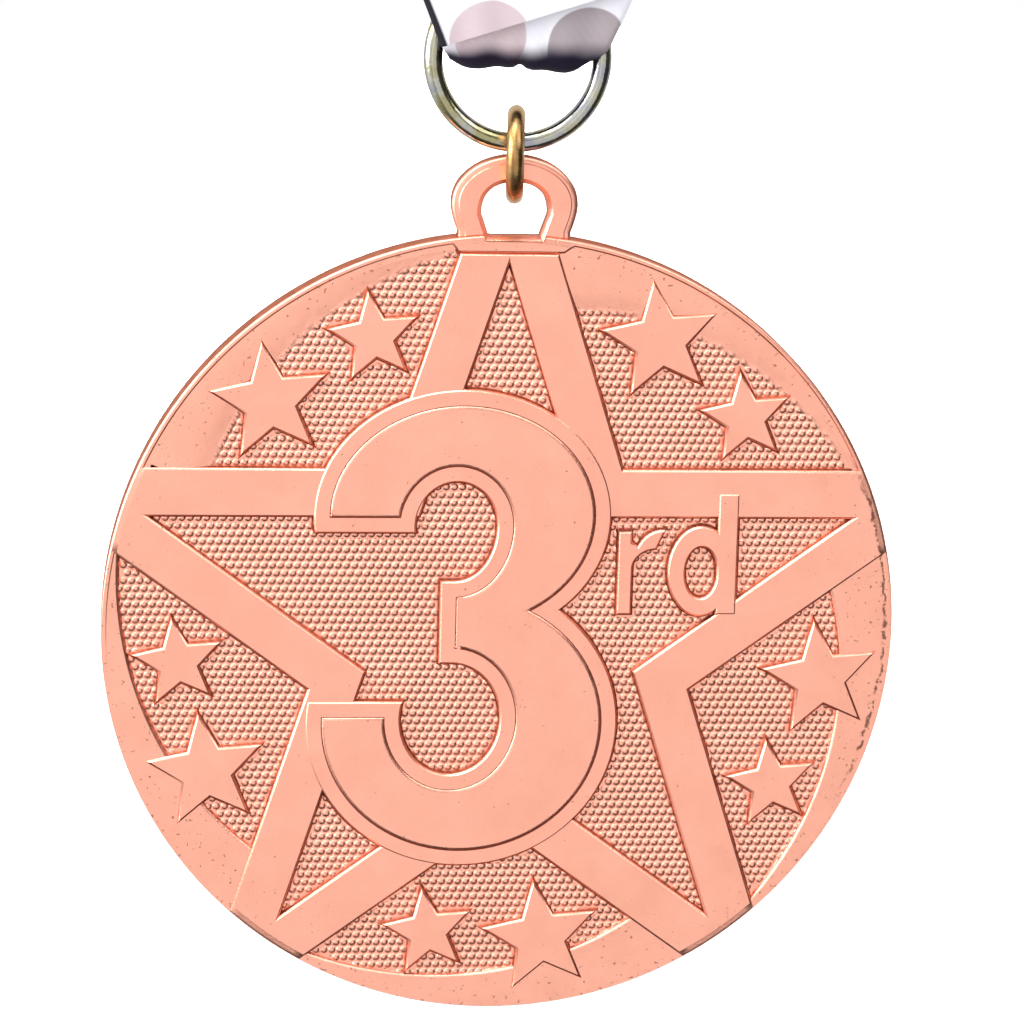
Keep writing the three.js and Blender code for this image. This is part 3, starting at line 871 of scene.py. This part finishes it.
def gather(point, v):
    """How far the gathered band stands out of its flat shape near the ring."""
    x, y, z = point
    if z > 60:
        return 0.0
    low = 1 - smooth((z - 45.0) / 2.2)
    pleat = -0.3 * math.exp(-((x - NOTCH_ASIDE) / 0.7) ** 2) * (1 - smooth((z - 46) / 7))
    ripple = 0.1 * math.cos(2 * math.pi * (x - NOTCH_ASIDE) / 3.4) * (1 - smooth((z - 47) / 8))
    if y < -POCKET_DEPTH - 0.2:
        return 0.7 * pleat + ripple
    notch = -0.35 * math.exp(-((x - NOTCH_ASIDE) / 0.5) ** 2)
    curl = -0.55 * smooth((abs(v) - 0.66) / 0.34) ** 2
    lobe = -0.22 * smooth((NOTCH_ASIDE - x) / 1.5)
    return pleat + ripple + low * (notch + curl + lobe)


# The print: a staggered pair of dot columns and a dark stripe along one edge.
DOT_PITCH = 8.2
DOT_ROWS = 89
FIRST_DOT = -0.5
DOT_HEIGHT = 47.45
FRONT_PRINT_SHIFT = -0.33
FOLD_PRINT_SHIFT = 0.93
STRIPE_WIDTH = 0.5


def add_pattern_map(ribbon, rows, distances, columns, width, count):
    """Places the print on the band: u runs along it and v across, both in dot pitches."""
    total = distances[-1]
    at_fold = distances[np.argmax((rows[:, 2] < DOT_HEIGHT) & (distances > total / 2))]
    pitch = (at_fold - FIRST_DOT) / DOT_ROWS
    ribbon_map = ribbon.data.uv_layers.new(name="print")
    place_of = {}
    for row in range(count):
        share = distances[row] / total
        drift = mix(FRONT_PRINT_SHIFT, FOLD_PRINT_SHIFT, smooth((share - 0.05) / 0.9))
        for column in range(width):
            v = columns[column] * RIBBON_HALF_WIDTH
            values = ((distances[row] - FIRST_DOT) / pitch - 0.5, (v + drift) / DOT_PITCH)
            place_of[row * width + column] = values
            if 0 < column < width - 1:
                place_of[count * width + row * (width - 2) + column - 1] = values
    for loop in ribbon.data.loops:
        ribbon_map.data[loop.index].uv = place_of[loop.vertex_index]


# ---- thread --------------------------------------------------------------------------------------

THREAD_WIRE = 0.35
STITCH_HEIGHT = 58.2
STITCH_ASIDE = 0.6
STITCH_HALF_ROW = 4.2
STITCH_COUNT = 6
STITCH_ARCH = 0.34
STITCH_STEPS = 24
TWISTS_PER_STITCH = 3
PLY_SIDES = 8
NEEDLE_SURFACE = -3.3
BOBBIN_SURFACE = -1.5


def make_thread(name, surface_y, out):
    """A row of lock stitches in two-ply thread; each stitch arches out of the band."""
    points, faces = [], []
    steps = np.linspace(0, 1, STITCH_STEPS * STITCH_COUNT + 1)
    ply = THREAD_WIRE / 4
    for twist in (0, math.pi):
        centres, across, up = [], [], []
        for t in steps:
            arch = abs(math.sin(math.pi * STITCH_COUNT * t)) ** 0.6
            turn = 2 * math.pi * TWISTS_PER_STITCH * STITCH_COUNT * t + twist
            centres.append(np.array([
                STITCH_ASIDE + STITCH_HALF_ROW * (2 * t - 1),
                surface_y + out * STITCH_ARCH * arch + ply * math.sin(turn),
                STITCH_HEIGHT + ply * math.cos(turn),
            ]))
        tangents = np.gradient(np.array(centres), axis=0)
        for tangent in tangents:
            tangent = tangent / np.linalg.norm(tangent)
            side = np.cross(tangent, (0, 0, 1.0))
            side /= np.linalg.norm(side)
            across.append(side)
            up.append(np.cross(side, tangent))
        radii = [ply * 1.08] * len(steps)
        tube, shell = swept_tube(centres, PLY_SIDES, radii, False, across, up)
        shift = len(points)
        points += tube
        faces += [tuple(i + shift for i in f) for f in shell]
    return mesh_object(name, points, faces)


def outward(piece):
    bm = bmesh.new()
    bm.from_mesh(piece.data)
    bmesh.ops.recalc_face_normals(bm, faces=bm.faces)
    bm.to_mesh(piece.data)
    bm.free()


# ---- materials -----------------------------------------------------------------------------------


class Nodes:
    """A small helper for building one material's node tree."""

    def __init__(self, name):
        self.material = bpy.data.materials.new(name)
        self.material.use_nodes = True
        self.tree = self.material.node_tree
        self.shader = self.tree.nodes["Principled BSDF"]

    def set(self, **values):
        for socket, value in values.items():
            self.shader.inputs[socket.replace("_", " ")].default_value = value

    def add(self, kind, inputs=(), **settings):
        node = self.tree.nodes.new(kind)
        for key, value in settings.items():
            setattr(node, key, value)
        for socket, value in dict(inputs).items():
            if isinstance(value, bpy.types.NodeSocket):
                self.tree.links.new(value, node.inputs[socket])
            else:
                node.inputs[socket].default_value = value
        return node

    def link(self, output, socket):
        self.tree.links.new(output, self.shader.inputs[socket])

    def math(self, operation, a, b=0.0):
        return self.add("ShaderNodeMath", {0: a, 1: b}, operation=operation).outputs[0]

    def position(self):
        return self.add("ShaderNodeNewGeometry").outputs["Position"]

    def noise(self, scale, detail=3.0, vector=None):
        vector = vector or self.position()
        inputs = {"Vector": vector, "Scale": scale, "Detail": detail}
        return self.add("ShaderNodeTexNoise", inputs).outputs["Fac"]

    def ramp(self, value, *stops):
        node = self.add("ShaderNodeValToRGB", {"Fac": value})
        elements = node.color_ramp.elements
        while len(elements) < len(stops):
            elements.new(0.5)
        for element, (place_on, colour) in zip(elements, stops):
            element.position = place_on
            element.color = (*colour, 1)
        return node.outputs["Color"]

    def length(self, a, b):
        square = self.math("ADD", self.math("MULTIPLY", a, a), self.math("MULTIPLY", b, b))
        return self.math("SQRT", square)

    def map_range(self, value, low, high, to_low, to_high):
        inputs = {0: value, 1: low, 2: high, 3: to_low, 4: to_high}
        return self.add("ShaderNodeMapRange", inputs).outputs[0]

    def mix(self, factor, a, b, blend="MIX"):
        node = self.add("ShaderNodeMix", data_type="RGBA", blend_type=blend)
        for socket, value in ((0, factor), (6, a), (7, b)):
            if isinstance(value, bpy.types.NodeSocket):
                self.tree.links.new(value, node.inputs[socket])
            else:
                node.inputs[socket].default_value = value
        return node.outputs[2]

    def bump(self, height, distance, strength=1.0):
        inputs = {"Height": height, "Distance": distance, "Strength": strength}
        self.link(self.add("ShaderNodeBump", inputs).outputs[0], "Normal")


def grey(value):
    return (value, value, value)


def copper_material():
    """Copper plate: painted shade on steep walls, small pits, and a painted groove shadow as an
    irregular dark line near the right rim.
    """
    nodes = Nodes("copper_plate")
    nodes.set(Metallic=1.0, Specular_Tint=(0.3, 0.16, 0.12, 1))
    cloud = nodes.noise(260)
    plated = nodes.ramp(
        cloud, (0.3, (0.93, 0.42, 0.305)), (0.55, (0.97, 0.445, 0.325)), (0.75, (0.99, 0.465, 0.345)),
    )
    split = nodes.add("ShaderNodeSeparateXYZ", {0: nodes.position()})
    depth = nodes.math("MULTIPLY", split.outputs[1], -1 / MM)
    across = split.outputs[0]
    height = nodes.math("SUBTRACT", split.outputs[2], DISC_HEIGHT * MM)
    # Painted shade: on the face, steep walls are darkened towards dark brown by the direction of their
    # normal, standing for shade on the walls.
    facing = nodes.add("ShaderNodeSeparateXYZ", {
        0: nodes.add("ShaderNodeNewGeometry").outputs["Normal"],
    }).outputs[1]
    steep = nodes.map_range(facing, -0.55, -0.35, 0.0, 0.85)
    radius = nodes.math("MULTIPLY", nodes.length(across, height), 1 / MM)
    walls = nodes.math("MULTIPLY", steep, nodes.map_range(depth, 0.9, 0.96, 0.0, 1.0))
    wall_painted_shade = nodes.math("MULTIPLY", walls, nodes.map_range(radius, 31.2, 31.3, 1.0, 0.0))
    limit = nodes.map_range(radius, 24, 31.2, 0.735, 0.67)
    limit = nodes.math("MAXIMUM", limit, nodes.map_range(radius, 31.6, 31.8, 0.0, 0.735))
    over = nodes.math("SUBTRACT", nodes.noise(3300, 2.0), limit)
    pits = nodes.map_range(over, 0.0, 0.04, 0.0, 0.6)
    # Painted shadow: an irregular dark line just inside the lip, on the right side of the rim only,
    # where a groove's shadow would fall.
    wander = nodes.map_range(nodes.noise(900, 3.0), 0.3, 0.7, -0.2, 0.2)
    from_line = nodes.math("SUBTRACT", nodes.math("ADD", radius, wander), LIP_RADIUS - 0.1)
    band = nodes.map_range(nodes.math("ABSOLUTE", from_line), 0.06, 0.16, 1.0, 0.0)
    patchy = nodes.map_range(nodes.noise(2600, 3.0), 0.4, 0.52, 0.0, 0.9)
    right = nodes.map_range(across, 0.0275, 0.0295, 0.0, 1.0)
    rim_groove_painted_shadow = nodes.math("MULTIPLY", nodes.math("MULTIPLY", band, patchy), right)
    # Real pits share one dark brown with the painted shade of the walls and the painted shadow at the
    # right rim; together they also roughen the surface.
    pits_and_painted_shade = nodes.math("MAXIMUM", nodes.math("MAXIMUM", wall_painted_shade, pits), rim_groove_painted_shadow)
    nodes.link(nodes.mix(pits_and_painted_shade, plated, (0.20, 0.085, 0.055, 1)), "Base Color")
    rough = nodes.map_range(nodes.noise(900), 0.3, 0.7, 0.27, 0.37)
    nodes.link(nodes.math("ADD", rough, nodes.math("MULTIPLY", pits_and_painted_shade, 0.15)), "Roughness")
    grain = nodes.noise(5200, 4)
    dents = nodes.math("SUBTRACT", grain, nodes.math("MULTIPLY", pits, 1.5))
    nodes.bump(dents, 0.00004, 0.5)
    return nodes.material


def wire_material(name, colours, roughness):
    nodes = Nodes(name)
    nodes.set(Metallic=1.0)
    nodes.link(nodes.ramp(nodes.noise(420), *colours), "Base Color")
    nodes.link(nodes.map_range(nodes.noise(1500), 0.3, 0.7, *roughness), "Roughness")
    nodes.bump(nodes.noise(3000, 3), 0.00005, 0.35)
    return nodes.material


def ribbon_material():
    """White satin with pink dots, every other dot a darker copy of the pink as painted shade, a dark
    edge stripe, and painted shade darkening the fold at the ring.
    """
    nodes = Nodes("ribbon_satin")
    nodes.set(Roughness=0.7, Specular_IOR_Level=0.15)
    coordinates = nodes.add("ShaderNodeUVMap", uv_map="print").outputs[0]
    split = nodes.add("ShaderNodeSeparateXYZ", {0: coordinates})
    v = split.outputs[1]
    stagger = nodes.map_range(split.outputs[0], 0.0, DOT_ROWS, 0.5, 0.0)
    column = nodes.math("FLOOR", v)
    shift = nodes.math("MULTIPLY", stagger, nodes.math("ADD", column, 1.0))
    u = nodes.math("SUBTRACT", split.outputs[0], shift)
    near_u = nodes.math("SUBTRACT", nodes.math("FRACT", u), 0.5)
    near_v = nodes.math("SUBTRACT", nodes.math("FRACT", v), 0.5)
    reach = nodes.length(near_u, near_v)
    dot = nodes.map_range(reach, 0.372, 0.39, 1.0, 0.0)
    white = (0.60, 0.59, 0.64, 1)
    pink = (0.45, 0.365, 0.39, 1)
    # Painted shade: the second dot colour is the pink darkened, a pink dot in shade, printed on every
    # other dot of the checkerboard.
    pink_in_painted_shade = (0.27, 0.235, 0.25, 1)
    number = nodes.math("ADD", nodes.math("FLOOR", u), nodes.math("FLOOR", v))
    odd = nodes.math("FLOORED_MODULO", number, 2.0)
    colour = nodes.mix(dot, white, nodes.mix(odd, pink, pink_in_painted_shade))
    stripe = (STRIPE_WIDTH - RIBBON_HALF_WIDTH + FRONT_PRINT_SHIFT) / DOT_PITCH
    edge = nodes.map_range(v, stripe - 0.01, stripe + 0.01, 1.0, 0.0)
    colour = nodes.mix(edge, colour, (0.012, 0.010, 0.016, 1))
    # Painted shade: the band is near black up to 0.8 mm above the lowest point of the fold through the
    # ring, fading out by 2.5 mm, with a noisy edge.
    height = nodes.add("ShaderNodeSeparateXYZ", {0: nodes.position()}).outputs[2]
    low = (FOLD_HEIGHT - POCKET_DEPTH + DISC_HEIGHT) * MM
    ripple = nodes.map_range(nodes.noise(260, 1.0), 0.3, 0.7, -0.0003, 0.0003)
    fold_painted_shade = nodes.add("ShaderNodeMapRange", {
        0: nodes.math("ADD", height, ripple), 1: low + 0.0008, 2: low + 0.0025, 3: 1.0, 4: 0.0,
    }, interpolation_type="SMOOTHSTEP").outputs[0]
    colour = nodes.mix(fold_painted_shade, colour, (0.008, 0.005, 0.018, 1))
    nodes.link(colour, "Base Color")
    flat = nodes.add("ShaderNodeVectorMath", {0: coordinates, 1: (1, 1, 0)}, operation="MULTIPLY")
    weave = nodes.add("ShaderNodeTexWave", {
        "Vector": flat.outputs[0], "Scale": 6.0, "Distortion": 0.0,
    }, bands_direction="DIAGONAL")
    nodes.bump(weave.outputs["Fac"], 0.00003, 0.3)
    return nodes.material


def thread_material():
    nodes = Nodes("sewing_thread")
    nodes.set(Roughness=0.8)
    nodes.link(nodes.ramp(nodes.noise(2500), (0.3, grey(0.80)), (0.7, grey(0.92))), "Base Color")
    nodes.bump(nodes.noise(9000, 2), 0.00003, 0.5)
    return nodes.material


def stage_material():
    nodes = Nodes("pale_floor")
    nodes.set(Roughness=0.9)
    nodes.link(nodes.ramp(nodes.noise(3), (0.3, grey(0.88)), (0.7, grey(0.9))), "Base Color")
    return nodes.material


# ---- build -----------------------------------------------------------------------------------------

medal = make_casting()
medal.data.transform(Matrix.Translation((0, 0, DISC_HEIGHT * MM)))
shade_by_angle(medal, 38)
ring = make_ribbon_ring()
link = make_jump_ring()
ribbon = make_ribbon()
needle = make_thread("needle_thread_visual", NEEDLE_SURFACE, -1)
bobbin = make_thread("bobbin_thread_visual", BOBBIN_SURFACE, 1)

copper = copper_material()
steel = wire_material(
    "nickel_plate",
    ((0.36, (0.35, 0.32, 0.17)), (0.5, (0.42, 0.41, 0.34)), (0.64, (0.33, 0.33, 0.37))),
    (0.12, 0.24),
)
brass = wire_material(
    "brass_wire", ((0.3, (0.34, 0.19, 0.07)), (0.6, (0.60, 0.38, 0.17))), (0.2, 0.36),
)
satin = ribbon_material()
cotton = thread_material()

for piece, material, body, node, slot in (
    (medal, copper, "medal", "medal_casting", "copper_plate"),
    (link, brass, "link", "jump_ring", "brass_wire"),
    (ring, steel, "round_ring", "ribbon_ring", "nickel_plate"),
    (ribbon, satin, "ribbon", "neck_ribbon", "ribbon_satin"),
    (needle, cotton, "ribbon", "needle_thread", "sewing_thread"),
    (bobbin, cotton, "ribbon", "bobbin_thread", "sewing_thread"),
):
    if piece is not medal:
        outward(piece)
        shade_by_angle(piece, 50)
    piece.data.materials.clear()
    piece.data.materials.append(material)
    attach(piece, body)
    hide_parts(node)

# ---- stage -----------------------------------------------------------------------------------------

FLOOR_HEIGHT = -0.8
BACK_LIGHT_POWER = 170
BACK_LIGHT_SPREAD = 70
SHADE_LEVEL = 0.07
GLOW_LEVEL = 1.6
BEHIND_LEVEL = 0.9
CAMERA_AZIMUTH = -6.02
CAMERA_ELEVATION = 12.26
CAMERA_ROLL = 1.5
CAMERA_DISTANCE = 311.1
CAMERA_ASIDE = -0.91
CAMERA_DROP = -9.39
CAMERA_LENS = 137.0


def make_floor():
    bm = bmesh.new()
    bmesh.ops.create_grid(bm, x_segments=24, y_segments=24, size=4.0)
    floor = object_from(bm, "floor")
    floor.location = (0, 1.5, FLOOR_HEIGHT)
    floor.data.materials.append(stage_material())
    floor.visible_glossy = False


def soft_box(name, direction, distance, size, power):
    """A square area light in a direction from the medal's face, aimed at it."""
    light = bpy.data.lights.new(name, "AREA")
    light.size = size
    light.energy = power
    lamp = bpy.data.objects.new(name, light)
    target = Vector((0, 0, DISC_HEIGHT * MM))
    direction = Vector(direction).normalized()
    lamp.location = target + direction * distance
    lamp.rotation_euler = direction.to_track_quat("Z", "Y").to_euler()
    lamp.visible_camera = False
    bpy.context.scene.collection.objects.link(lamp)


def back_light():
    """A wide light over the floor behind the object."""
    light = bpy.data.lights.new("back_light", "AREA")
    light.size = 4
    light.energy = BACK_LIGHT_POWER
    light.spread = math.radians(BACK_LIGHT_SPREAD)
    lamp = bpy.data.objects.new("back_light", light)
    lamp.location = (0, 4.0, 1.6)
    lamp.visible_camera = False
    bpy.context.scene.collection.objects.link(lamp)


def studio_light(tree):
    """Bright behind and to the upper left, dark below and to the right, by direction alone."""
    def node(kind, **settings):
        made = tree.nodes.new(kind)
        for key, value in settings.items():
            setattr(made, key, value)
        return made

    direction = node("ShaderNodeTexCoord").outputs["Generated"]
    split = node("ShaderNodeSeparateXYZ")
    tree.links.new(direction, split.inputs[0])
    side = node("ShaderNodeVectorMath", operation="DOT_PRODUCT")
    side.inputs[1].default_value = Vector((-0.8, 0.0, 0.6)).normalized()
    tree.links.new(direction, side.inputs[0])
    slope = node("ShaderNodeMapRange", interpolation_type="SMOOTHSTEP")
    for socket, value in ((1, -0.15), (2, 0.75), (3, SHADE_LEVEL), (4, GLOW_LEVEL)):
        slope.inputs[socket].default_value = value
    tree.links.new(side.outputs["Value"], slope.inputs[0])
    behind = node("ShaderNodeMapRange", interpolation_type="SMOOTHSTEP")
    for socket, value in ((1, 0.0), (2, 0.35), (3, 0.0), (4, 1.0)):
        behind.inputs[socket].default_value = value
    tree.links.new(split.outputs[1], behind.inputs[0])
    choose = node("ShaderNodeMix", data_type="FLOAT")
    tree.links.new(behind.outputs[0], choose.inputs[0])
    tree.links.new(slope.outputs[0], choose.inputs[2])
    choose.inputs[3].default_value = BEHIND_LEVEL
    return choose.outputs[0]


def make_world():
    world = bpy.data.worlds.new("studio")
    world.use_nodes = True
    tree = world.node_tree
    background = tree.nodes["Background"]
    background.inputs["Color"].default_value = (1, 1, 1, 1)
    tree.links.new(studio_light(tree), background.inputs["Color"])
    seen = tree.nodes.new("ShaderNodeBackground")
    seen.inputs["Strength"].default_value = 1.0
    seen.inputs["Color"].default_value = (1, 1, 1, 1)
    rays = tree.nodes.new("ShaderNodeLightPath")
    choose = tree.nodes.new("ShaderNodeMixShader")
    tree.links.new(rays.outputs["Is Camera Ray"], choose.inputs[0])
    tree.links.new(background.outputs[0], choose.inputs[1])
    tree.links.new(seen.outputs[0], choose.inputs[2])
    tree.links.new(choose.outputs[0], tree.nodes["World Output"].inputs["Surface"])
    bpy.context.scene.world = world


def make_camera():
    azimuth = math.radians(CAMERA_AZIMUTH)
    elevation = math.radians(CAMERA_ELEVATION)
    roll = math.radians(CAMERA_ROLL)
    back = Vector((
        math.sin(azimuth) * math.cos(elevation),
        -math.cos(azimuth) * math.cos(elevation),
        math.sin(elevation),
    ))
    level = Vector((math.cos(azimuth), math.sin(azimuth), 0))
    upright = back.cross(level)
    right = math.cos(roll) * level + math.sin(roll) * upright
    up = math.cos(roll) * upright - math.sin(roll) * level
    target = Vector((0, -BAND_DEPTH, DISC_HEIGHT))
    spot = target - CAMERA_ASIDE * right - CAMERA_DROP * up + CAMERA_DISTANCE * back
    data = bpy.data.cameras.new("camera")
    data.lens = CAMERA_LENS
    data.sensor_width = 36
    data.clip_start = 0.01
    camera = bpy.data.objects.new("camera", data)
    bpy.context.scene.collection.objects.link(camera)
    turn = Matrix((right, up, back)).transposed().to_4x4()
    camera.matrix_world = Matrix.Translation(spot * MM) @ turn
    bpy.context.scene.camera = camera


make_floor()
make_world()
make_camera()
soft_box("face_light", (0.10, -0.97, -0.21), 1.0, 1.1, 3.9)
soft_box("left_light", (-1, -0.22, 0.25), 0.9, 0.7, 9)
soft_box("top_light", (-0.35, -0.25, 1), 0.8, 0.6, 6)
soft_box("right_light", (0.55, -0.5, 0.7), 1.7, 1.1, 10)
back_light()
bpy.context.scene.view_settings.view_transform = "Standard"
